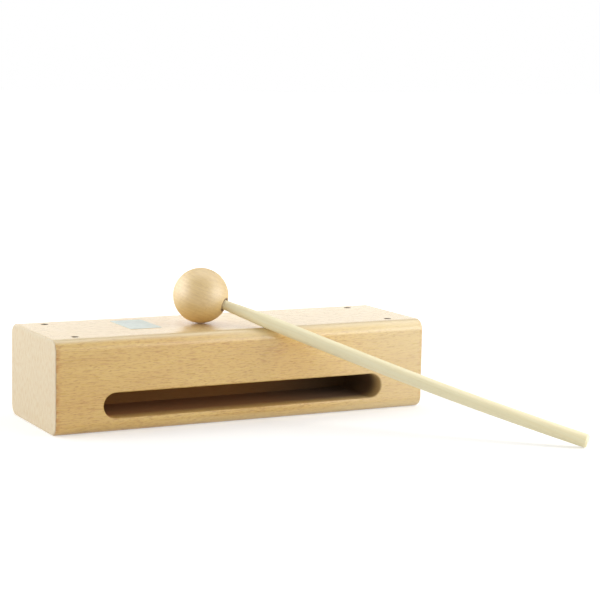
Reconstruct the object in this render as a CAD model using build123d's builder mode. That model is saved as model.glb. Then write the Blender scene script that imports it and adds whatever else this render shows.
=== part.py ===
"""A rectangular woodblock with a sound slot in each long side, and its ball-headed beater leaning on it.

Lengths are in millimetres and angles in degrees. The origin is the middle of the block's base, with +X along
the block, +Y away from the front slot and +Z up. The beater lies as it does at rest: its head over the top of
the block, its handle over the front edge, and the end of its handle on the surface that the block stands on.
"""
import os
from math import asin, atan, atan2, cos, degrees, hypot, radians, sin, sqrt, tan

from build123d import *

os.makedirs("parts", exist_ok=True)

# Block: three plates of wood, one over the other, with a slot between each pair
block_length = 180.0
block_depth = 57.0
sound_plate = 6.1
slot_height = 11.3
middle_web = 6.3
long_edge_radius = 5.0
end_edge_radius = 0.8

# Slots: routed from the front, low down, and from the back, high up
end_wood = 21.8
slot_depth = 31.5
slot_mouth_radius = 0.4

# Spike dents that the routing jig leaves in the top, near the corners
dent_from_end = 13.0
dent_from_side = 9.5
dent_shift_x = -1.0
dent_shift_y = -0.5
dent_mouth_radius = 1.6
dent_tip_radius = 0.4
dent_depth = 3.0

# Blank label stuck on the top
label_width = 15.0
label_length = 25.0
label_thickness = 0.12
label_corner_radius = 0.8
label_from_end = 49.7
label_off_centre = 4.3

# Beater: a turned ball on a thin, slightly bowed dowel
head_diameter = 25.0
head_from_middle = -11.5
bore_mouth_chamfer = 0.7
handle_diameter = 6.0
handle_length = 188.0
handle_turn = 47.35
handle_end_chamfer = 0.6
handle_end_angle = 45.0
neck_length = 20.0
tenon_diameter = 4.4
tenon_past_centre = 3.5
straight_length = 81.5
bow_radius = 1813.0

# Clearances
rest_gap = 0.1
floor_gap = 0.1
glue_gap = 0.05
bore_end_gap = 0.5

block_height = 2 * (sound_plate + slot_height) + middle_web
slot_length = block_length - 2 * end_wood
head_radius = head_diameter / 2
handle_radius = handle_diameter / 2
tenon_radius = tenon_diameter / 2
bow_length = handle_length - tenon_past_centre - straight_length - handle_end_chamfer
head_height = block_height + head_radius + rest_gap

# The axis of the front top edge's round, and how far from it the handle's own axis passes
edge_axis_y = long_edge_radius - block_depth / 2
edge_axis_z = block_height - long_edge_radius
edge_to_handle = long_edge_radius + handle_radius + rest_gap


def handle_slope(head_y):
    """How far below level the handle points when it just clears the block's front edge."""
    run = head_y - edge_axis_y
    drop = head_height - edge_axis_z
    sight = atan2(drop, run)
    lift = asin(edge_to_handle / hypot(run, drop))
    return degrees(atan(tan(sight - lift) * sin(radians(handle_turn))))


def handle_end_height(head_y):
    """Height of the lowest point of the handle's end when the head lies this far back."""
    slope = radians(handle_slope(head_y))
    end_slope = slope - bow_length / bow_radius
    straight_drop = straight_length * sin(slope)
    bow_drop = bow_radius * (cos(end_slope) - cos(slope))
    return head_height - straight_drop - bow_drop - handle_radius * cos(end_slope)


def seated_head_y(halvings=60):
    """How far back the head lies when the handle's end just clears the floor, found by halving."""
    near = edge_axis_y + edge_to_handle
    far = block_depth / 2
    for _ in range(halvings):
        middle = (near + far) / 2
        if handle_end_height(middle) < floor_gap:
            near = middle
        else:
            far = middle
    return far


head_y = seated_head_y()
head_centre = Vector(head_from_middle, head_y, head_height)
slope = radians(handle_slope(head_y))
turn = radians(handle_turn)
handle_way = Vector(cos(turn) * cos(slope), -sin(turn) * cos(slope), -sin(slope))
handle_side = Vector(-sin(turn), -cos(turn), 0)
handle_axis = Axis(head_centre, handle_way)

# Along its X this plane holds the handle's axis, and its Y points upwards: the handle bows in this plane
bow_plane = Plane(origin=head_centre, x_dir=handle_way, z_dir=handle_side)
bow_start = head_centre + handle_way * straight_length
bow_axis = Axis(bow_start + bow_plane.y_dir * bow_radius, handle_side)

front_plane = Plane.XZ.offset(block_depth / 2)
back_plane = Plane.XZ.offset(-block_depth / 2)
front_slot_z = sound_plate + slot_height / 2
back_slot_z = block_height - front_slot_z

# Block body: a beech bar with rounded long edges, cut square and eased at its ends, with two slots and four dents
with BuildPart() as block_body:
    with BuildSketch(Plane.YZ):
        with Locations((0, block_height / 2)):
            RectangleRounded(block_depth, block_height, long_edge_radius)
    extrude(amount=block_length / 2, both=True)
    bar_ends = block_body.faces().sort_by(Axis.X)
    fillet(bar_ends[0].edges() + bar_ends[-1].edges(), radius=end_edge_radius)
    for mouth_plane, slot_z, inward in (
        (front_plane, front_slot_z, -slot_depth),
        (back_plane, back_slot_z, slot_depth),
    ):
        with BuildSketch(mouth_plane):
            with Locations((0, slot_z)):
                SlotOverall(slot_length, slot_height)
        extrude(amount=inward, mode=Mode.SUBTRACT)
    faces_front_to_back = block_body.faces().sort_by(Axis.Y)
    front_mouth = faces_front_to_back[0].inner_wires()[0]
    back_mouth = faces_front_to_back[-1].inner_wires()[0]
    fillet(front_mouth.edges() + back_mouth.edges(), radius=slot_mouth_radius)
    dent_spacing_x = block_length - 2 * dent_from_end
    dent_spacing_y = block_depth - 2 * dent_from_side
    with Locations((dent_shift_x, dent_shift_y, block_height)):
        with GridLocations(dent_spacing_x, dent_spacing_y, 2, 2):
            Cone(
                dent_tip_radius,
                dent_mouth_radius,
                dent_depth,
                align=(Align.CENTER, Align.CENTER, Align.MAX),
                mode=Mode.SUBTRACT,
            )

# Blank label: a thin sheet on the block's top
with BuildPart() as blank_label:
    with BuildSketch(Plane.XY.offset(block_height)):
        with Locations((label_from_end - block_length / 2, label_off_centre)):
            RectangleRounded(label_width, label_length, label_corner_radius)
    extrude(amount=label_thickness)

# Beater head: a ball with a blind bore, flared at its mouth, that takes the handle's tenon
bore_radius = tenon_radius + glue_gap
bore_past_centre = tenon_past_centre + bore_end_gap
bore_mouth = sqrt(head_radius**2 - bore_radius**2)
flare_start = bore_mouth - bore_mouth_chamfer
flare_end = head_radius + bore_mouth_chamfer
with BuildPart() as beater_head:
    with Locations(head_centre):
        Sphere(head_radius)
    with BuildSketch(bow_plane):
        with BuildLine():
            Polyline(
                (-bore_past_centre, 0),
                (-bore_past_centre, bore_radius),
                (flare_start, bore_radius),
                (flare_end, bore_radius + flare_end - flare_start),
                (flare_end, 0),
                close=True,
            )
        make_face()
    revolve(axis=handle_axis, mode=Mode.SUBTRACT)

# Beater handle: tenon, tapered neck and straight run turned about the axis, then the bowed run
with BuildPart() as beater_handle:
    with BuildSketch(bow_plane):
        with BuildLine():
            Polyline(
                (-tenon_past_centre, 0),
                (-tenon_past_centre, tenon_radius),
                (head_radius, tenon_radius),
                (head_radius + neck_length, handle_radius),
                (straight_length, handle_radius),
                (straight_length, 0),
                close=True,
            )
        make_face()
    revolve(axis=handle_axis)
    with BuildSketch(Plane(origin=bow_start, x_dir=handle_side, z_dir=handle_way)):
        Circle(handle_radius)
    revolve(axis=bow_axis, revolution_arc=degrees(bow_length / bow_radius))
    handle_end = beater_handle.faces().sort_by(handle_axis)[-1]
    extrude(handle_end, amount=handle_end_chamfer, taper=handle_end_angle)

for name, piece in (
    ("block_body", block_body),
    ("blank_label", blank_label),
    ("beater_head", beater_head),
    ("beater_handle", beater_handle),
):
    piece.part.label = name
    export_step(piece.part, f"parts/{name}.step")

print(f"block {block_length} x {block_depth} x {block_height:.1f}, head at y {head_y:.2f} z {head_height:.2f}")
print(f"handle slopes {degrees(slope):.2f} down, its end is {handle_end_height(head_y):.2f} above the floor")
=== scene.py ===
"""A woodblock with its ball-headed beater leaning on it, on a pale studio floor.

Lengths are in metres, and in millimetres where a material's patterns use them. The frame is the CAD
model's: the origin is the middle of the block's base, +X runs along the block, +Y away from its front
slot and +Z up.
"""
from math import cos, pi, radians, sin, sqrt

import bmesh
import bpy
from mathutils import Matrix, Vector


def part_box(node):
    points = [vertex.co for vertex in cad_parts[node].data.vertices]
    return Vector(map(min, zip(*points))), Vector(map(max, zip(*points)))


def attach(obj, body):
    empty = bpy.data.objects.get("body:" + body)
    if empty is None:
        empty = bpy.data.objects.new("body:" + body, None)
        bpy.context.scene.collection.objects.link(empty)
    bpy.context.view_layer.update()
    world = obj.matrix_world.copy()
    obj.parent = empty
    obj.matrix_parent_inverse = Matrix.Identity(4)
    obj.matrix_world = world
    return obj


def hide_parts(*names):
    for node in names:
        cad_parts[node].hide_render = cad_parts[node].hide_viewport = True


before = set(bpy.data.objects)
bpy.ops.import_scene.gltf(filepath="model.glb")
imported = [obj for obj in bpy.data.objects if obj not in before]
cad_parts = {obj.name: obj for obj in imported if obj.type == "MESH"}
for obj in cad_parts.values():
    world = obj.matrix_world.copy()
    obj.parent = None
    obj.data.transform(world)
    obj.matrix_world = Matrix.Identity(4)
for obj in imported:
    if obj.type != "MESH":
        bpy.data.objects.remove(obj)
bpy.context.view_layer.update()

# Block
block_low, block_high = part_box("block_body")
block_size = block_high - block_low
block_middle = (block_low + block_high) / 2
long_edge_radius = 0.005
long_edge_steps = 12
end_edge_radius = 0.0008
end_edge_steps = 4
sound_plate = 0.0061
slot_length = 0.1364
slot_height = 0.0113
slot_depth = 0.0315
slot_flare = 0.0004
slot_end_steps = 64

# Spike dents in the block's top, each leaning and turned a little by itself
dent_from_end = 0.013
dent_from_side = 0.0095
dent_shift = Vector((-0.001, -0.0005, 0.0))
dent_mouth_radius = 0.0016
dent_tip_radius = 0.0004
dent_depth = 0.003
dent_sides = 24
dent_lean = 0.12
dent_spin = 3.0
dent_seed = 4

# Label
label_low, label_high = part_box("blank_label")
label_corner_radius = 0.0008
label_corner_steps = 6

# Beater
head_low, head_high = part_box("beater_head")
head_centre = (head_low + head_high) / 2
head_radius = (head_high.x - head_low.x) / 2
head_rings = 64
head_sides = 96
lip_search_step = head_radius / 10000
handle_turn = radians(47.35)
handle_slope = radians(16.9022)
handle_radius = 0.003
handle_length = 0.188
handle_sides = 40
handle_step = 0.0003
handle_end_chamfer = 0.0006
neck_length = 0.02
tenon_radius = 0.0022
tenon_past_centre = 0.0035
bore_radius = 0.00225
bore_past_centre = 0.004
bore_mouth_chamfer = 0.0007
straight_length = 0.0815
bow_radius = 1.813

# The beater's own frame: X along the handle, Y upwards, Z to its side
handle_way = Vector((
    cos(handle_turn) * cos(handle_slope),
    -sin(handle_turn) * cos(handle_slope),
    -sin(handle_slope),
))
handle_side = Vector((-sin(handle_turn), -cos(handle_turn), 0.0))
handle_up = handle_side.cross(handle_way)
beater_place = Matrix((handle_way, handle_up, handle_side)).transposed().to_4x4()
beater_place.translation = head_centre

# Meshes
merge_distance = 1e-7
sharp_angle = radians(30.0)

# Camera, at the photograph's viewing angle
camera_place = Vector((-0.346811, -0.732763, 0.162255))
camera_yaw = radians(27.8391)
camera_pitch = radians(7.7876)
camera_roll = radians(1.1288)
camera_lens = 108.0
camera_sensor = 36.0
camera_near = 0.01

# Floor and room
floor_reach = 6.0
floor_cells = 8
surround_level = 0.08
white = (1.0, 1.0, 1.0, 1.0)

# Lamps: the place, the point aimed at, the width, the height and the brightness of each
object_middle = (0.0, 0.0, 0.03)
block_end = (0.06, 0.0, 0.02)
block_corner = (0.08, -0.02, 0.04)
lamps = {
    "left_lamp": ((-0.66, 0.54, 0.42), object_middle, 1.2, 0.84, 2.4),
    "side_lamp": ((-0.85, 0.05, 0.20), object_middle, 0.6, 0.36, 2.2),
    "right_lamp": ((0.52, -0.24, 0.20), object_middle, 0.45, 0.36, 2.1),
    "front_lamp": ((0.38, -0.51, 0.18), block_end, 0.42, 0.34, 3.0),
    "fill_lamp": ((-0.30, -0.75, 0.55), object_middle, 0.5, 0.4, 1.0),
    "edge_lamp": ((0.46, -0.08, 0.62), block_corner, 0.7, 0.3, 1.9),
    "high_lamp": ((0.10, 0.20, 0.80), object_middle, 0.5, 0.5, 1.8),
    "back_lamp": ((0.45, 0.95, 0.13), object_middle, 1.0, 0.24, 1.35),
}


# Nodes

def put(tree, kind, inputs=None, out=0, **settings):
    """Adds a node, feeds its inputs by name or number, and gives back one of its outputs."""
    node = tree.nodes.new(kind)
    for name, value in settings.items():
        setattr(node, name, value)
    for name, value in (inputs or {}).items():
        if isinstance(value, bpy.types.NodeSocket):
            tree.links.new(value, node.inputs[name])
        else:
            node.inputs[name].default_value = value
    return node.outputs[out]


def calc(tree, operation, *values):
    """One step of arithmetic."""
    return put(tree, "ShaderNodeMath", dict(enumerate(values)), operation=operation)


def total(tree, *values):
    """The sum of all the values."""
    result = values[0]
    for value in values[1:]:
        result = calc(tree, "ADD", result, value)
    return result


def product(tree, *values):
    """All the values multiplied together."""
    result = values[0]
    for value in values[1:]:
        result = calc(tree, "MULTIPLY", result, value)
    return result


def away_from(tree, value, middle):
    """How far a value lies from a middle, to either side."""
    return calc(tree, "ABSOLUTE", calc(tree, "SUBTRACT", value, middle))


def distance(tree, first, second):
    """How far a point lies from the origin, from its two components."""
    squares = total(tree, calc(tree, "POWER", first, 2.0), calc(tree, "POWER", second, 2.0))
    return calc(tree, "SQRT", squares)


def stretch(tree, vector, scale):
    """A vector scaled along each axis by itself."""
    return put(tree, "ShaderNodeVectorMath", {0: vector, 1: scale}, operation="MULTIPLY")


def split(tree, vector):
    """The three components of a vector."""
    node = put(tree, "ShaderNodeSeparateXYZ", {"Vector": vector}).node
    return node.outputs[0], node.outputs[1], node.outputs[2]


def join(tree, x, y, z):
    """A vector from its three components."""
    return put(tree, "ShaderNodeCombineXYZ", {0: x, 1: y, 2: z})


def ease(tree, value, low, high, start=0.0, end=1.0):
    """Goes smoothly from start to end while the value goes from low to high."""
    inputs = {0: value, 1: low, 2: high, 3: start, 4: end}
    return put(tree, "ShaderNodeMapRange", inputs, interpolation_type="SMOOTHSTEP")


def fade(tree, value, low, high):
    """Goes smoothly from 1 to 0 while the value goes from low to high."""
    return ease(tree, value, low, high, 1.0, 0.0)


def tint(tree, share, first, second):
    """A share of the second colour laid over the first."""
    return put(tree, "ShaderNodeMix", {0: share, 6: first, 7: second}, out=2, data_type="RGBA")


def noise(tree, vector, repeats, detail, out="Fac"):
    """Smooth noise that rises and falls about this often in one unit along each axis."""
    inputs = {"Vector": stretch(tree, vector, repeats), "Scale": 1.0, "Detail": detail}
    return put(tree, "ShaderNodeTexNoise", inputs, out=out)


def cells(tree, vector, repeats):
    """The distance to the nearest of scattered points, this many of them in one unit along each axis."""
    inputs = {"Vector": stretch(tree, vector, repeats), "Scale": 1.0, "Randomness": 1.0}
    return put(tree, "ShaderNodeTexVoronoi", inputs, out="Distance")


def colour(red, green, blue):
    """A screen colour, 0 to 255 each, as Blender's linear colour."""
    def linear(level):
        share = level / 255
        return share / 12.92 if share <= 0.04045 else ((share + 0.055) / 1.055) ** 2.4
    return (linear(red), linear(green), linear(blue), 1.0)


# Materials, with lengths in millimetres

millimetres = 1000.0
block_half = block_size / 2 * millimetres
block_top = block_high.z * millimetres
varnish = 1.0
fibre_range = (0.3, 0.7)


def new_material(name):
    """A material with an empty Principled surface."""
    material = bpy.data.materials.new(name)
    material.use_nodes = True
    return material, material.node_tree, material.node_tree.nodes["Principled BSDF"]


def raise_relief(tree, surface, strength, depth, relief):
    """Gives a surface its fine relief, of a depth in millimetres."""
    inputs = {"Strength": strength, "Distance": depth / millimetres, "Height": relief}
    tree.links.new(put(tree, "ShaderNodeBump", inputs), surface.inputs["Normal"])


def object_spot(tree):
    """Object coordinates in millimetres."""
    spot = put(tree, "ShaderNodeTexCoord", out="Object")
    return stretch(tree, spot, (millimetres, millimetres, millimetres))


def beater_grain(tree):
    """Object coordinates in millimetres in the beater's own frame, whose X runs along the grain."""
    turned = put(tree, "ShaderNodeMapping", {
        "Vector": put(tree, "ShaderNodeTexCoord", out="Object"),
        "Location": beater_place.to_translation(),
        "Rotation": beater_place.to_euler(),
    }, vector_type="TEXTURE")
    return stretch(tree, turned, (millimetres, millimetres, millimetres))


# Beech: how often each pattern repeats in a millimetre along and across the grain, and its detail

sway_pattern = ((0.011, 0.035, 0.035), 2.0)
patch_pattern = ((0.014, 0.05, 0.05), 1.0)
streak_pattern = ((0.05, 0.80, 0.80), 3.0)
fibre_pattern = ((0.20, 3.6, 3.6), 2.0)
long_fleck_pattern = ((0.20, 2.0, 2.0), 1.0)
short_fleck_pattern = ((0.45, 3.0, 3.0), 1.0)
fleck_range = (0.52, 0.72)
ring_rise = (0.35, 0.93)
ring_fall = (0.93, 1.0)
patch_weight = 0.8
streak_weight = 0.6
tone_range = (0.45, 0.95)
fibre_relief = 0.5
short_fleck_relief = -0.5
long_fleck_relief = -0.3
noise_middle = (0.5, 0.5, 0.5)
beech_sway = 5.0
beech_bump = 0.30
wood_relief = 0.06


def swayed(tree, grain, reach):
    """The grain bent sideways a little, as it grew."""
    drift = noise(tree, grain, *sway_pattern, out="Color")
    centred = put(tree, "ShaderNodeVectorMath", {0: drift, 1: noise_middle}, operation="SUBTRACT")
    sideways = stretch(tree, centred, (0.0, reach, reach))
    return put(tree, "ShaderNodeVectorMath", {0: grain, 1: sideways}, operation="ADD")


def beech(tree, grain, pith, ring_width, lean, tones):
    """The colour, relief and fibres of beech, with growth rings about a pith, streaks and ray flecks."""
    bent = swayed(tree, grain, beech_sway)
    x, y, z = split(tree, bent)
    pith_y, pith_z = pith
    out_y = total(tree, y, -pith_y, product(tree, x, lean))
    out_z = calc(tree, "SUBTRACT", z, pith_z)
    year = calc(tree, "FRACT", calc(tree, "DIVIDE", distance(tree, out_y, out_z), ring_width))
    late_wood = product(tree, ease(tree, year, *ring_rise), fade(tree, year, *ring_fall))

    patches = noise(tree, bent, *patch_pattern)
    streaks = noise(tree, bent, *streak_pattern)
    fibres = noise(tree, bent, *fibre_pattern)
    long_flecks = ease(tree, noise(tree, bent, *long_fleck_pattern), *fleck_range)
    short_flecks = ease(tree, noise(tree, bent, *short_fleck_pattern), *fleck_range)

    depth = total(tree, product(tree, streaks, streak_weight), product(tree, patches, patch_weight))
    body = tint(tree, ease(tree, depth, *tone_range), tones["pale"], tones["deep"])
    ringed = tint(tree, product(tree, late_wood, tones["ring_share"]), body, tones["ring"])
    barred = tint(tree, product(tree, long_flecks, tones["long_share"]), ringed, tones["fleck"])
    flecked = tint(tree, product(tree, short_flecks, tones["short_share"]), barred, tones["fleck"])
    relief = total(
        tree,
        product(tree, fibres, fibre_relief),
        product(tree, short_flecks, short_fleck_relief),
        product(tree, long_flecks, long_fleck_relief),
    )
    return flecked, relief, fibres


# Block: its beech, with fainter flecks on the top than on the sides

block_pith = (92.0, 8.0)
block_ring_width = 2.4
block_lean = 0.02
block_roughness = (0.26, 0.36)
block_tones = {
    "pale": colour(239, 202, 118),
    "deep": colour(230, 188, 104),
    "ring": colour(208, 158, 84),
    "ring_share": 0.14,
    "fleck": colour(190, 124, 50),
}
fleck_change = (block_top - 1.5, block_top - 0.3, 0.58, 0.18)
long_fleck_part = 0.75

# Painted light on the block: paler wood towards its +X end, where the lamps fall, a painted sheen on its
# top, and a painted highlight on its long round edges
lit_side_colour = colour(232, 212, 166)
lit_side_along = (block_half.x * 0.1, block_half.x, 0.0, 0.5)
lit_side_lost_on_top = 0.7
# Painted sheen: the top paler and greyer than the sides
top_sheen_colour = colour(203, 195, 173)
top_range = (block_top - 2.2, block_top - 0.3)
top_sheen_tint = 0.42
# Painted highlight on the long round edges, stronger towards +X
edge_highlight_colour = colour(250, 229, 178)
edge_highlight_start = 4.6
edge_highlight_full = 2.5
edge_highlight_pattern = ((0.03, 0.3, 0.3), 2.0)
edge_highlight_patches = (0.2, 0.7, 0.5, 1.0)
edge_highlight_along = (block_half.x * -0.6, 0.0, 0.25, 1.0)
edge_highlight_tint = 0.5

# End grain, its paler tone partly painted sheen for the light on the ends, and the corners that the saw
# tore
end_pale = colour(209, 197, 171)
end_deep = colour(199, 179, 145)
end_pattern = ((0.4, 1.0, 0.35), 4.0)
end_tone_range = (0.40, 0.70)
end_range = (
    block_half.x - end_edge_radius * 0.8 * millimetres,
    block_half.x - end_edge_radius * 0.2 * millimetres,
)
end_tint = 0.85
end_matt = 0.3
torn_wood = colour(200, 130, 48)
torn_pattern = ((0.25, 0.6, 0.6), 3.0)
torn_bits = (0.36, 0.66)
torn_sides = (block_half.y - 3.0, block_half.y - 0.5)
torn_reach = (block_half.x - 3.6, block_half.x - 0.7)
torn_rim = (block_half.x - 0.45, block_half.x - 0.15)
torn_along = (-block_half.x, block_half.x, 1.0, 0.35)
torn_tint = 0.75

# Painted shade in the slots, darker deep in and towards +X, and painted shade in the dents
slot_shade_light = colour(146, 88, 10)
slot_shade_dark = colour(86, 48, 8)
slot_shade_depth = 11.0
slot_shade_along = (0.0, slot_length * 0.4 * millimetres)
slot_shade_tint = 0.9
slot_skin = 0.35
slot_half = slot_length / 2 * millimetres
slot_end_fade = (slot_half + 1.0, slot_half + 2.0)
slot_matt = 0.6
# Painted shade in the dents
dent_shade_colour = colour(48, 27, 12)
dent_fade = (dent_mouth_radius * 0.9 * millimetres, dent_mouth_radius * 1.25 * millimetres)
dent_shade_tint = 0.92
dent_matt = 0.5


def end_share(tree, spot):
    """1 on the block's two end faces, 0 just past their eased edges."""
    away = calc(tree, "ABSOLUTE", split(tree, spot)[0])
    return ease(tree, away, *end_range)


def torn_share(tree, spot):
    """Where the saw tore the sides along the corners of the block's ends, and the lacquer sank in."""
    x, y, _ = split(tree, spot)
    away = calc(tree, "ABSOLUTE", x)
    on_side = ease(tree, calc(tree, "ABSOLUTE", y), *torn_sides)
    near_end = ease(tree, away, *torn_reach)
    rim = product(tree, near_end, near_end, fade(tree, away, *torn_rim))
    bits = ease(tree, noise(tree, spot, *torn_pattern), *torn_bits)
    return product(tree, on_side, rim, ease(tree, x, *torn_along), bits)


def edge_highlight_share(tree, spot):
    """Where a painted highlight lies on the four long round edges, less towards -X."""
    x, y, z = split(tree, spot)
    away_y = calc(tree, "ABSOLUTE", y)
    away_z = away_from(tree, z, block_middle.z * millimetres)
    return product(
        tree,
        ease(tree, away_y, block_half.y - edge_highlight_start, block_half.y - edge_highlight_full),
        ease(tree, away_z, block_half.z - edge_highlight_start, block_half.z - edge_highlight_full),
        ease(tree, noise(tree, spot, *edge_highlight_pattern), *edge_highlight_patches),
        ease(tree, x, *edge_highlight_along),
    )


def in_slots(tree, spot):
    """How far the slots' walls are raw, how far deep in they take painted shade, and how far along +X."""
    x, y, z = split(tree, spot)
    away_x = calc(tree, "ABSOLUTE", x)
    away_y = calc(tree, "ABSOLUTE", y)
    away_z = away_from(tree, z, block_middle.z * millimetres)
    plate_skin = block_half.z - sound_plate * millimetres + slot_skin
    raw = product(
        tree,
        fade(tree, away_x, *slot_end_fade),
        fade(tree, away_y, block_half.y - slot_skin * 2, block_half.y - slot_skin / 2),
        fade(tree, away_z, plate_skin, block_half.z - slot_skin),
    )
    deep = fade(tree, away_y, block_half.y - slot_shade_depth, block_half.y)
    return raw, product(tree, raw, deep), ease(tree, x, *slot_shade_along)


def near_dents(tree, spot):
    """1 in the spike dents, fading out just past their mouths."""
    x, y, _ = split(tree, spot)
    dent_x = block_half.x - dent_from_end * millimetres
    dent_y = block_half.y - dent_from_side * millimetres
    off_x = calc(tree, "SUBTRACT", away_from(tree, x, dent_shift.x * millimetres), dent_x)
    off_y = calc(tree, "SUBTRACT", away_from(tree, y, dent_shift.y * millimetres), dent_y)
    return fade(tree, distance(tree, off_x, off_y), *dent_fade)


def block_beech():
    """Lacquered beech for the block, with end grain, torn corners, painted light (a paler +X side, a top
    sheen and edge highlights) and painted shade in the slots and dents.
    """
    material, tree, surface = new_material("block_beech")
    spot = object_spot(tree)
    x, _, z = split(tree, spot)
    flecks = ease(tree, z, *fleck_change)
    tones = dict(block_tones, long_share=product(tree, flecks, long_fleck_part), short_share=flecks)
    wood, relief, fibres = beech(tree, spot, block_pith, block_ring_width, block_lean, tones)

    on_top = ease(tree, z, *top_range)
    # Painted light: paler towards +X, as if lit from that side, less so on the top
    off_top = calc(tree, "SUBTRACT", 1.0, product(tree, on_top, lit_side_lost_on_top))
    lit_side_share = product(tree, ease(tree, x, *lit_side_along), off_top)
    lit_side = tint(tree, lit_side_share, wood, lit_side_colour)
    # Painted sheen on the top
    with_top_sheen = tint(tree, product(tree, on_top, top_sheen_tint), lit_side, top_sheen_colour)
    # Painted highlight on the long round edges
    edge_lit = tint(tree, product(tree, edge_highlight_share(tree, spot), edge_highlight_tint), with_top_sheen, edge_highlight_colour)

    # End grain: its own tone, made paler in part as painted sheen
    ends = end_share(tree, spot)
    speckle = ease(tree, noise(tree, spot, *end_pattern), *end_tone_range)
    end_grain = tint(tree, speckle, end_pale, end_deep)
    ended = tint(tree, product(tree, ends, end_tint), edge_lit, end_grain)
    torn = tint(tree, product(tree, torn_share(tree, spot), torn_tint), ended, torn_wood)

    # Painted shade deep in the slots, darker towards +X
    slots, slot_shade_share, far_along = in_slots(tree, spot)
    slot_shade = tint(tree, far_along, slot_shade_light, slot_shade_dark)
    slot_shaded = tint(tree, product(tree, slot_shade_share, slot_shade_tint), torn, slot_shade)
    # Painted shade in the dents
    dents = near_dents(tree, spot)
    dent_shaded = tint(tree, product(tree, dents, dent_shade_tint), slot_shaded, dent_shade_colour)
    tree.links.new(dent_shaded, surface.inputs["Base Color"])

    matt = total(
        tree,
        product(tree, slots, slot_matt),
        product(tree, dents, dent_matt),
        product(tree, ends, end_matt),
    )
    polish = total(tree, ease(tree, fibres, *fibre_range, *block_roughness), matt)
    tree.links.new(polish, surface.inputs["Roughness"])
    surface.inputs["Specular IOR Level"].default_value = varnish
    raise_relief(tree, surface, beech_bump, wood_relief, relief)
    return material


# Ball: a paler beech, with painted shade about the bore's mouth

head_pith = (-24.0, 12.0)
head_ring_width = 1.7
head_lean = 0.06
head_roughness = (0.46, 0.56)
head_refraction = 1.85
head_tones = {
    "pale": colour(225, 194, 126),
    "deep": colour(214, 179, 104),
    "ring": colour(178, 134, 78),
    "ring_share": 0.15,
    "fleck": colour(184, 142, 84),
    "long_share": 0.30,
    "short_share": 0.22,
}
# Painted shade about the bore's mouth, where the handle enters the ball
bore_rim_shade = colour(96, 52, 8)
bore_lip = (bore_radius + bore_mouth_chamfer) * millimetres
bore_rim_fade = (bore_lip + 0.1, bore_lip + 0.7)
bore_rim_side = (0.0, 1.0)
bore_rim_tint = 0.85
bore_rim_matt = 0.4


def head_beech():
    """Paler beech for the ball, its grain along the handle, with painted shade about the bore's mouth."""
    material, tree, surface = new_material("head_beech")
    grain = beater_grain(tree)
    wood, relief, fibres = beech(tree, grain, head_pith, head_ring_width, head_lean, head_tones)
    x, y, z = split(tree, grain)
    # Painted shade about the bore's mouth
    near_bore = fade(tree, distance(tree, y, z), *bore_rim_fade)
    bore_rim_share = product(tree, near_bore, ease(tree, x, *bore_rim_side))
    bore_shaded = tint(tree, product(tree, bore_rim_share, bore_rim_tint), wood, bore_rim_shade)
    tree.links.new(bore_shaded, surface.inputs["Base Color"])
    matt = product(tree, bore_rim_share, bore_rim_matt)
    polish = total(tree, ease(tree, fibres, *fibre_range, *head_roughness), matt)
    tree.links.new(polish, surface.inputs["Roughness"])
    surface.inputs["Specular IOR Level"].default_value = varnish
    surface.inputs["IOR"].default_value = head_refraction
    raise_relief(tree, surface, beech_bump, wood_relief, relief)
    return material


# Handle: a pale dowel

dowel_pale = colour(255, 246, 206)
dowel_deep = colour(250, 237, 190)
dowel_pore = colour(182, 150, 98)
dowel_sway = 1.2
dowel_streak_pattern = ((0.02, 1.1, 1.1), 3.0)
dowel_fibre_pattern = ((0.10, 5.0, 5.0), 3.0)
dowel_streak_weight = 0.8
dowel_fibre_weight = 0.3
dowel_tone_range = (0.35, 0.75)
pore_repeats = (0.22, 4.0, 4.0)
pore_fade = (0.08, 0.24)
pore_tint = 0.16
pore_relief = -0.6
dowel_roughness = (0.42, 0.56)
dowel_bump = 0.35


def handle_dowel():
    """Pale straight-grained dowel, with long streaks and fine pores."""
    material, tree, surface = new_material("handle_dowel")
    bent = swayed(tree, beater_grain(tree), dowel_sway)
    streaks = noise(tree, bent, *dowel_streak_pattern)
    fibres = noise(tree, bent, *dowel_fibre_pattern)
    pores = fade(tree, cells(tree, bent, pore_repeats), *pore_fade)
    streak_tone = product(tree, streaks, dowel_streak_weight)
    fibre_tone = product(tree, fibres, dowel_fibre_weight)
    depth = total(tree, streak_tone, fibre_tone)
    body = tint(tree, ease(tree, depth, *dowel_tone_range), dowel_pale, dowel_deep)
    pored = tint(tree, product(tree, pores, pore_tint), body, dowel_pore)
    tree.links.new(pored, surface.inputs["Base Color"])
    polish = ease(tree, fibres, *fibre_range, *dowel_roughness)
    tree.links.new(polish, surface.inputs["Roughness"])
    surface.inputs["Specular IOR Level"].default_value = varnish
    relief = total(tree, product(tree, fibres, fibre_relief), product(tree, pores, pore_relief))
    raise_relief(tree, surface, dowel_bump, wood_relief, relief)
    return material


# Label: plain paper

label_pale = colour(228, 236, 230)
label_deep = colour(219, 228, 222)
mottle_pattern = ((0.5, 0.5, 0.5), 4.0)
mottle_range = (0.35, 0.65)
pulp_pattern = ((6.0, 6.0, 6.0), 3.0)
label_roughness = (0.55, 0.7)
label_bump = 0.25
label_relief = 0.03


def label_paper():
    """Matt pale blue-grey paper with a faint mottle."""
    material, tree, surface = new_material("label_paper")
    spot = object_spot(tree)
    mottle = ease(tree, noise(tree, spot, *mottle_pattern), *mottle_range)
    pulp = noise(tree, spot, *pulp_pattern)
    tree.links.new(tint(tree, mottle, label_pale, label_deep), surface.inputs["Base Color"])
    tree.links.new(ease(tree, pulp, *fibre_range, *label_roughness), surface.inputs["Roughness"])
    raise_relief(tree, surface, label_bump, label_relief, pulp)
    return material


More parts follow.
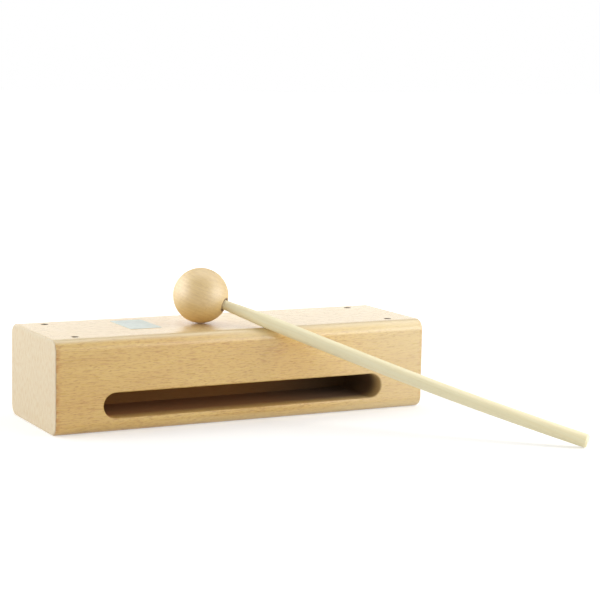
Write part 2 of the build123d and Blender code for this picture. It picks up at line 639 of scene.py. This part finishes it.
# Floor: white paper, with its pattern and its glow in metres

floor_pale = colour(224, 224, 224)
floor_deep = colour(220, 220, 220)
floor_pattern = ((3.0, 3.0, 3.0), 2.0)
floor_roughness = 0.9
floor_glow = (0.15, 0.6, 0.42, 1.0)


def seen_plainly(tree):
    """1 for the camera, for reflections and through clear pieces, 0 where a ray only gathers light."""
    paths = tree.nodes.new("ShaderNodeLightPath").outputs
    seen = calc(tree, "MAXIMUM", paths["Is Camera Ray"], paths["Is Glossy Ray"])
    return calc(tree, "MAXIMUM", seen, paths["Is Transmission Ray"])


def floor_paper():
    """The white studio floor, which runs out to plain white away from the object."""
    material, tree, surface = new_material("floor_paper")
    spot = put(tree, "ShaderNodeTexCoord", out="Object")
    body = tint(tree, noise(tree, spot, *floor_pattern), floor_pale, floor_deep)
    tree.links.new(body, surface.inputs["Base Color"])
    surface.inputs["Roughness"].default_value = floor_roughness
    away = put(tree, "ShaderNodeVectorMath", {0: spot}, out="Value", operation="LENGTH")
    glow = product(tree, seen_plainly(tree), ease(tree, away, *floor_glow))
    surface.inputs["Emission Color"].default_value = white
    tree.links.new(glow, surface.inputs["Emission Strength"])
    return material


# Pieces

def new_piece(name, mesh, material):
    """An object at the origin, in the scene, with one material."""
    mesh.name = name
    mesh.materials.clear()
    mesh.materials.append(material)
    piece = bpy.data.objects.new(name, mesh)
    bpy.context.scene.collection.objects.link(piece)
    return piece


def to_mesh(build, name):
    """A plain mesh from a bmesh, with its doubles merged and its normals outward."""
    bmesh.ops.remove_doubles(build, verts=build.verts, dist=merge_distance)
    bmesh.ops.recalc_face_normals(build, faces=build.faces)
    mesh = bpy.data.meshes.new(name)
    build.to_mesh(mesh)
    build.free()
    return mesh


def smooth(mesh):
    """Smooth shading, with the steep edges left sharp."""
    mesh.shade_smooth()
    mesh.set_sharp_from_angle(angle=sharp_angle)


def round_cornered(low, high, radius, steps, inset=0.0):
    """The outline of a rectangle with round corners, drawn in by an inset."""
    points = []
    middle = (low + high) / 2
    size = high - low
    for corner, (side_x, side_y) in enumerate(((1, 1), (-1, 1), (-1, -1), (1, -1))):
        centre_x = middle.x + side_x * (size.x / 2 - radius)
        centre_y = middle.y + side_y * (size.y / 2 - radius)
        for step in range(steps + 1):
            angle = pi / 2 * (corner + step / steps)
            x = centre_x + (radius - inset) * cos(angle)
            y = centre_y + (radius - inset) * sin(angle)
            points.append((x, y))
    return points


def bridge(build, rows):
    """Faces between rows of points that each go once round a piece."""
    for row, following in zip(rows, rows[1:]):
        for first in range(len(row)):
            second = (first + 1) % len(row)
            build.faces.new((row[first], row[second], following[second], following[first]))


def new_tree(name, sizes):
    """An empty Geometry Nodes tree with a named input for each size."""
    tree = bpy.data.node_groups.new(name, "GeometryNodeTree")
    tree.interface.new_socket("Geometry", in_out="INPUT", socket_type="NodeSocketGeometry")
    for label in sizes:
        tree.interface.new_socket(label, in_out="INPUT", socket_type="NodeSocketFloat")
    tree.interface.new_socket("Material", in_out="INPUT", socket_type="NodeSocketMaterial")
    tree.interface.new_socket("Geometry", in_out="OUTPUT", socket_type="NodeSocketGeometry")
    return tree, tree.nodes.new("NodeGroupInput").outputs


def end_tree(tree, shape, given):
    """Realizes the shape, gives it its material and closes the tree."""
    solid = put(tree, "GeometryNodeRealizeInstances", {"Geometry": shape})
    inputs = {"Geometry": solid, "Material": given["Material"]}
    finished = put(tree, "GeometryNodeSetMaterial", inputs)
    tree.links.new(finished, tree.nodes.new("NodeGroupOutput").inputs["Geometry"])


def grow(name, start, tree, sizes, material):
    """The plain mesh that a Geometry Nodes tree makes from a starting mesh."""
    piece = new_piece(name, start, material)
    modifier = piece.modifiers.new(name, "NODES")
    modifier.node_group = tree
    for item in tree.interface.items_tree:
        if item.in_out == "INPUT" and item.name in sizes:
            modifier[item.identifier] = sizes[item.name]
        if item.in_out == "INPUT" and item.name == "Material":
            modifier[item.identifier] = material
    graph = bpy.context.evaluated_depsgraph_get()
    mesh = bpy.data.meshes.new_from_object(piece.evaluated_get(graph))
    piece.modifiers.remove(modifier)
    bpy.data.objects.remove(piece)
    return mesh


def rounded_blank():
    """The bar before it is slotted: round along its long edges, square-cut and eased at its ends."""
    stations = []
    for step in range(end_edge_steps + 1):
        angle = pi / 2 * (1 - step / end_edge_steps)
        along = block_low.x + end_edge_radius * (1 - sin(angle))
        stations.append((along, end_edge_radius * (1 - cos(angle))))
    stations += [(block_low.x + block_high.x - along, inset) for along, inset in reversed(stations)]
    build = bmesh.new()
    rows = []
    for along, inset in stations:
        section = round_cornered(block_low.yz, block_high.yz, long_edge_radius, long_edge_steps, inset)
        rows.append([build.verts.new((along, y, z)) for y, z in section])
    bridge(build, rows)
    build.faces.new(rows[0])
    build.faces.new(rows[-1])
    return to_mesh(build, "rounded_blank")


def slot_cutter(tree, given, face_y, inward, slot_z):
    """A slot with round ends and a flared mouth: two hulls, each round a pair of cutters at its ends."""
    half_height = product(tree, given["Slot height"], 0.5)
    half_run = product(tree, calc(tree, "SUBTRACT", given["Slot length"], given["Slot height"]), 0.5)
    ends = put(tree, "GeometryNodeMeshLine", {
        "Count": 2,
        "Start Location": join(tree, product(tree, half_run, -1.0), face_y, slot_z),
        "Offset": join(tree, half_run, face_y, slot_z),
    }, mode="END_POINTS")
    flare = given["Slot flare"]
    outwards = join(tree, 0.0, 0.0, product(tree, flare, -1.0))
    slot_run = calc(tree, "ADD", given["Slot depth"], flare)
    flare_run = product(tree, flare, 2.0)
    flare_radius = total(tree, half_height, flare, flare)
    shapes = []
    for mouth_radius, run in ((half_height, slot_run), (flare_radius, flare_run)):
        cutter = put(tree, "GeometryNodeMeshCone", {
            "Vertices": slot_end_steps,
            "Radius Bottom": mouth_radius,
            "Radius Top": half_height,
            "Depth": run,
        })
        begun = put(tree, "GeometryNodeTransform", {"Geometry": cutter, "Translation": outwards})
        facing = (-inward * pi / 2, 0.0, 0.0)
        aimed = put(tree, "GeometryNodeTransform", {"Geometry": begun, "Rotation": facing})
        pair = put(tree, "GeometryNodeInstanceOnPoints", {"Points": ends, "Instance": aimed})
        loose = put(tree, "GeometryNodeRealizeInstances", {"Geometry": pair})
        shapes.append(put(tree, "GeometryNodeConvexHull", {"Geometry": loose}))
    return shapes


def dent_cutter(tree, given):
    """Four spikes in the block's top, each a little different, that start a tip's radius above it."""
    widening = calc(tree, "SUBTRACT", given["Dent mouth"], given["Dent tip"])
    slope = calc(tree, "DIVIDE", widening, given["Dent depth"])
    above = given["Dent tip"]
    spike = put(tree, "GeometryNodeMeshCone", {
        "Vertices": dent_sides,
        "Radius Bottom": given["Dent tip"],
        "Radius Top": total(tree, given["Dent mouth"], product(tree, slope, above)),
        "Depth": calc(tree, "ADD", given["Dent depth"], above),
    })
    sunk = put(tree, "GeometryNodeTransform", {
        "Geometry": spike,
        "Translation": join(tree, 0.0, 0.0, product(tree, given["Dent depth"], -1.0)),
    })
    grid = put(tree, "GeometryNodeMeshGrid", {
        "Size X": given["Dent spacing X"],
        "Size Y": given["Dent spacing Y"],
        "Vertices X": 2,
        "Vertices Y": 2,
    })
    placed = put(tree, "GeometryNodeTransform", {
        "Geometry": grid,
        "Translation": (dent_shift.x, dent_shift.y, block_high.z),
    })
    lean = put(tree, "FunctionNodeRandomValue", {
        0: (-dent_lean, -dent_lean, 0.0),
        1: (dent_lean, dent_lean, dent_spin),
        "Seed": dent_seed,
    }, data_type="FLOAT_VECTOR")
    inputs = {"Points": placed, "Instance": sunk, "Rotation": lean}
    spikes = put(tree, "GeometryNodeInstanceOnPoints", inputs)
    return put(tree, "GeometryNodeRealizeInstances", {"Geometry": spikes})


def slotted_block(material):
    """The block: its rounded blank cut by both slots and by the spike dents."""
    sizes = {
        "Slot length": slot_length,
        "Slot height": slot_height,
        "Slot depth": slot_depth,
        "Slot flare": slot_flare,
        "Sound plate": sound_plate,
        "Dent spacing X": block_size.x - 2 * dent_from_end,
        "Dent spacing Y": block_size.y - 2 * dent_from_side,
        "Dent mouth": dent_mouth_radius,
        "Dent tip": dent_tip_radius,
        "Dent depth": dent_depth,
    }
    tree, given = new_tree("slotted_block", sizes)
    lower = total(tree, given["Sound plate"], product(tree, given["Slot height"], 0.5))
    upper = calc(tree, "SUBTRACT", block_size.z, lower)
    cutters = slot_cutter(tree, given, block_low.y, 1.0, lower)
    cutters += slot_cutter(tree, given, block_high.y, -1.0, upper)
    cutters.append(dent_cutter(tree, given))
    blank = {"Mesh 1": given["Geometry"]}
    cut = put(tree, "GeometryNodeMeshBoolean", blank, operation="DIFFERENCE", solver="EXACT")
    for cutter in cutters:
        tree.links.new(cutter, cut.node.inputs["Mesh 2"])
    end_tree(tree, cut, given)
    mesh = grow("block", rounded_blank(), tree, sizes, material)
    smooth(mesh)
    piece = new_piece("slotted_block", mesh, material)
    even = piece.modifiers.new("even_normals", "WEIGHTED_NORMAL")
    even.keep_sharp = True
    return piece


def turned_head(material):
    """The beater's ball, turned about the handle's axis, with the bore that takes the handle."""
    flare_start = sqrt(head_radius ** 2 - bore_radius ** 2) - bore_mouth_chamfer
    lip_radius = bore_radius
    while (flare_start + lip_radius - bore_radius) ** 2 + lip_radius ** 2 < head_radius ** 2:
        lip_radius += lip_search_step
    lip = Vector((flare_start + lip_radius - bore_radius, lip_radius))
    lip_angle = lip.angle(Vector((1.0, 0.0)))
    profile = [(-bore_past_centre, 0.0), (-bore_past_centre, bore_radius), (flare_start, bore_radius)]
    for ring in range(head_rings + 1):
        angle = lip_angle + (pi - lip_angle) * ring / head_rings
        profile.append((head_radius * cos(angle), head_radius * sin(angle)))
    turns = [2 * pi * side / head_sides for side in range(head_sides)]
    build = bmesh.new()
    rows = []
    for along, away in profile:
        rows.append([build.verts.new((along, away * cos(turn), away * sin(turn))) for turn in turns])
    bridge(build, rows)
    mesh = to_mesh(build, "turned_head")
    mesh.transform(beater_place)
    smooth(mesh)
    return new_piece("turned_head", mesh, material)


def bowed_handle(material):
    """The beater's dowel: a tenon, a tapered neck, a straight run and a bowed run with a chamfered end."""
    sizes = {
        "Length": handle_length,
        "Straight run": straight_length,
        "Bow radius": bow_radius,
        "Radius": handle_radius,
        "Tenon radius": tenon_radius,
        "Tenon past centre": tenon_past_centre,
        "Neck start": head_radius,
        "Neck length": neck_length,
        "End chamfer": handle_end_chamfer,
    }
    tree, given = new_tree("bowed_handle", sizes)
    line = put(tree, "GeometryNodeCurvePrimitiveLine", {"End": join(tree, given["Length"], 0.0, 0.0)})
    steps = int(handle_length / handle_step)
    path = put(tree, "GeometryNodeResampleCurve", {"Curve": line, "Count": steps})

    run = put(tree, "GeometryNodeSplineParameter", out="Length")
    along = calc(tree, "SUBTRACT", run, given["Tenon past centre"])
    past = calc(tree, "MAXIMUM", calc(tree, "SUBTRACT", along, given["Straight run"]), 0.0)
    bend = calc(tree, "DIVIDE", past, given["Bow radius"])
    straight = calc(tree, "MINIMUM", along, given["Straight run"])
    forward = total(tree, straight, product(tree, given["Bow radius"], calc(tree, "SINE", bend)))
    rise = calc(tree, "SUBTRACT", 1.0, calc(tree, "COSINE", bend))
    bow = join(tree, forward, product(tree, given["Bow radius"], rise), 0.0)
    bowed = put(tree, "GeometryNodeSetPosition", {"Geometry": path, "Position": bow})

    body = put(tree, "ShaderNodeMapRange", {
        0: along,
        1: given["Neck start"],
        2: calc(tree, "ADD", given["Neck start"], given["Neck length"]),
        3: given["Tenon radius"],
        4: given["Radius"],
    })
    left = calc(tree, "SUBTRACT", given["Length"], run)
    chamfered = total(tree, given["Radius"], left, product(tree, given["End chamfer"], -1.0))
    radius = calc(tree, "MINIMUM", body, chamfered)
    held = put(tree, "GeometryNodeCaptureAttribute", {"Geometry": bowed}).node
    held.capture_items.new("FLOAT", "radius")
    tree.links.new(radius, held.inputs[1])

    ring = put(tree, "GeometryNodeCurvePrimitiveCircle", {"Resolution": handle_sides, "Radius": 1.0})
    rod = put(tree, "GeometryNodeCurveToMesh", {
        "Curve": held.outputs[0],
        "Profile Curve": ring,
        "Scale": held.outputs[1],
        "Fill Caps": True,
    })
    end_tree(tree, rod, given)
    mesh = grow("handle", bpy.data.meshes.new("handle_start"), tree, sizes, material)
    mesh.transform(beater_place)
    smooth(mesh)
    return new_piece("bowed_handle", mesh, material)


def paper_label(material):
    """The blank label: a thin sheet with rounded corners."""
    outline = round_cornered(label_low.xy, label_high.xy, label_corner_radius, label_corner_steps)
    build = bmesh.new()
    sheet = build.faces.new([build.verts.new((x, y, label_low.z)) for x, y in outline])
    raised = bmesh.ops.extrude_face_region(build, geom=[sheet])
    upper = [item for item in raised["geom"] if isinstance(item, bmesh.types.BMVert)]
    bmesh.ops.translate(build, verts=upper, vec=(0.0, 0.0, label_high.z - label_low.z))
    return new_piece("paper_label", to_mesh(build, "paper_label"), material)


# Stage

def studio_floor():
    """A wide pale floor."""
    build = bmesh.new()
    bmesh.ops.create_grid(build, x_segments=floor_cells, y_segments=floor_cells, size=floor_reach)
    floor = new_piece("studio_floor", to_mesh(build, "studio_floor"), floor_paper())


def soft_lamp(name, place, aim, width, height, brightness):
    """A rectangular soft lamp of a given surface brightness, turned towards a point."""
    lamp = bpy.data.lights.new(name, "AREA")
    lamp.shape = "RECTANGLE"
    lamp.size = width
    lamp.size_y = height
    lamp.energy = brightness * pi * width * height
    holder = bpy.data.objects.new(name, lamp)
    holder.location = place
    holder.rotation_euler = (Vector(aim) - Vector(place)).to_track_quat("-Z", "Y").to_euler()
    bpy.context.scene.collection.objects.link(holder)


def white_surround():
    """A plain white room: white to the camera and in reflections, softer as a light."""
    world = bpy.data.worlds.new("white_surround")
    world.use_nodes = True
    bpy.context.scene.world = world
    tree = world.node_tree
    back = tree.nodes["Background"]
    back.inputs["Color"].default_value = white
    strength = put(tree, "ShaderNodeMapRange", {0: seen_plainly(tree), 3: surround_level, 4: 1.0})
    tree.links.new(strength, back.inputs["Strength"])


def photo_camera():
    """The camera where the photograph was taken from."""
    lens = bpy.data.cameras.new("photo_camera")
    lens.lens = camera_lens
    lens.sensor_width = camera_sensor
    lens.sensor_fit = "HORIZONTAL"
    lens.clip_start = camera_near
    camera = bpy.data.objects.new("photo_camera", lens)
    turn = Matrix.Rotation(-camera_yaw, 4, "Z") @ Matrix.Rotation(pi / 2 - camera_pitch, 4, "X")
    camera.matrix_world = Matrix.Translation(camera_place) @ turn @ Matrix.Rotation(camera_roll, 4, "Z")
    bpy.context.scene.collection.objects.link(camera)
    bpy.context.scene.camera = camera


bpy.context.scene.view_settings.view_transform = "Standard"
photo_camera()
studio_floor()
white_surround()
for lamp_name, lamp_values in lamps.items():
    soft_lamp(lamp_name, *lamp_values)

for make, finish, node, body in (
    (slotted_block, block_beech, "block_body", "block"),
    (paper_label, label_paper, "blank_label", "block"),
    (turned_head, head_beech, "beater_head", "beater"),
    (bowed_handle, handle_dowel, "beater_handle", "beater"),
):
    piece = make(finish())
    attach(piece, body)
    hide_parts(node)
